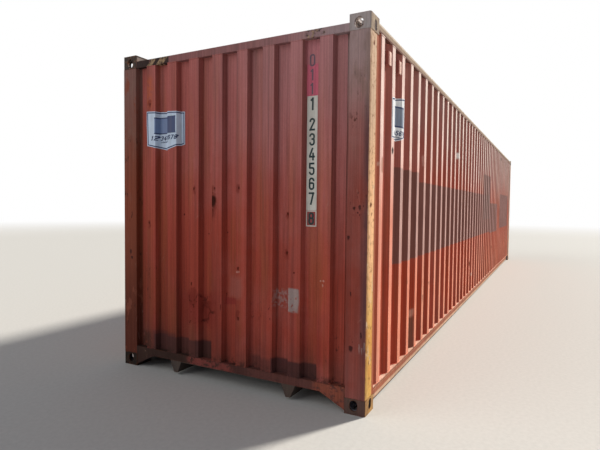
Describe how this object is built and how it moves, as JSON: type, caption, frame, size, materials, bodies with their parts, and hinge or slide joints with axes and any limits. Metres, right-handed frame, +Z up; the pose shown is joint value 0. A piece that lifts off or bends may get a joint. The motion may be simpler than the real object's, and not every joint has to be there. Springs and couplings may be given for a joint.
{
  "type": "shipping container",
  "caption": "Long high steel freight box with corrugated walls, a welded corner-post frame, hinged end doors shut by lock rods, and a tunnel under its front end.",
  "frame": {"origin": "on the ground under the middle of the box, in the plane of the bottom castings' undersides", "axes": "+X towards the plain front wall, +Y towards the left side, +Z up; the doors face -X"},
  "size_m": [12.192, 2.438, 2.896],
  "materials": {
    "casting_steel": "rough red-brown paint over cast steel, rusted at the edges",
    "post_paint": "faded red-brown paint with rust spots",
    "header_paint": "faded red-brown paint with worn yellow and black hatching at the ends",
    "sill_paint": "scraped red-brown paint with surface rust",
    "rail_paint": "chalky red-brown paint faded to ochre",
    "front_paint": "faded oxide red paint with scratches and small rust spots",
    "side_paint": "sun-faded oxide red paint with darker overpainted areas",
    "roof_paint": "chalky oxide red paint, dusty",
    "door_paint": "faded oxide red paint",
    "under_paint": "dark waxy underseal",
    "plywood": "worn hardwood plywood",
    "gasket_rubber": "matte black rubber",
    "fitting_steel": "red-brown paint over forged steel",
    "rod_steel": "dull galvanised steel",
    "vent_plastic": "sun-bleached plastic with thin red paint"
  },
  "bodies": {
    "root": {"casting_front_left_bottom": "casting_steel", "casting_front_right_bottom": "casting_steel", "casting_front_left_top": "casting_steel", "casting_front_right_top": "casting_steel", "casting_rear_left_bottom": "casting_steel", "casting_rear_right_bottom": "casting_steel", "casting_rear_left_top": "casting_steel", "casting_rear_right_top": "casting_steel", "front_post_left": "post_paint", "front_post_right": "post_paint", "rear_post_left": "post_paint", "rear_post_right": "post_paint", "front_header": "header_paint", "front_sill": "sill_paint", "door_header": "header_paint", "door_sill": "sill_paint", "top_rail_left": "rail_paint", "top_rail_right": "rail_paint", "bottom_rail_left": "sill_paint", "bottom_rail_right": "sill_paint", "front_wall": "front_paint", "side_wall_left": "side_paint", "side_wall_right": "side_paint", "roof": "roof_paint", "roof_plate_front": "roof_paint", "roof_plate_rear": "roof_paint", "floor_boards": "plywood", "floor_rail": "under_paint", "cross_members": "under_paint", "outriggers_left": "under_paint", "outriggers_right": "under_paint", "tunnel_plate": "under_paint", "tunnel_beam_left": "under_paint", "tunnel_beam_right": "under_paint", "tunnel_bows": "under_paint", "door_left": "door_paint", "door_right": "door_paint", "gasket_left": "gasket_rubber", "gasket_right": "gasket_rubber", "hinges_left": "fitting_steel", "hinges_right": "fitting_steel", "lock_rods_left": "rod_steel", "lock_rods_right": "rod_steel", "handles_left": "rod_steel", "handles_right": "rod_steel", "handle_catches_left": "fitting_steel", "handle_catches_right": "fitting_steel", "rod_brackets_left": "fitting_steel", "rod_brackets_right": "fitting_steel", "keepers_top": "fitting_steel", "keepers_bottom": "fitting_steel", "vents_left": "vent_plastic", "vents_right": "vent_plastic"}
  },
  "joints": []
}
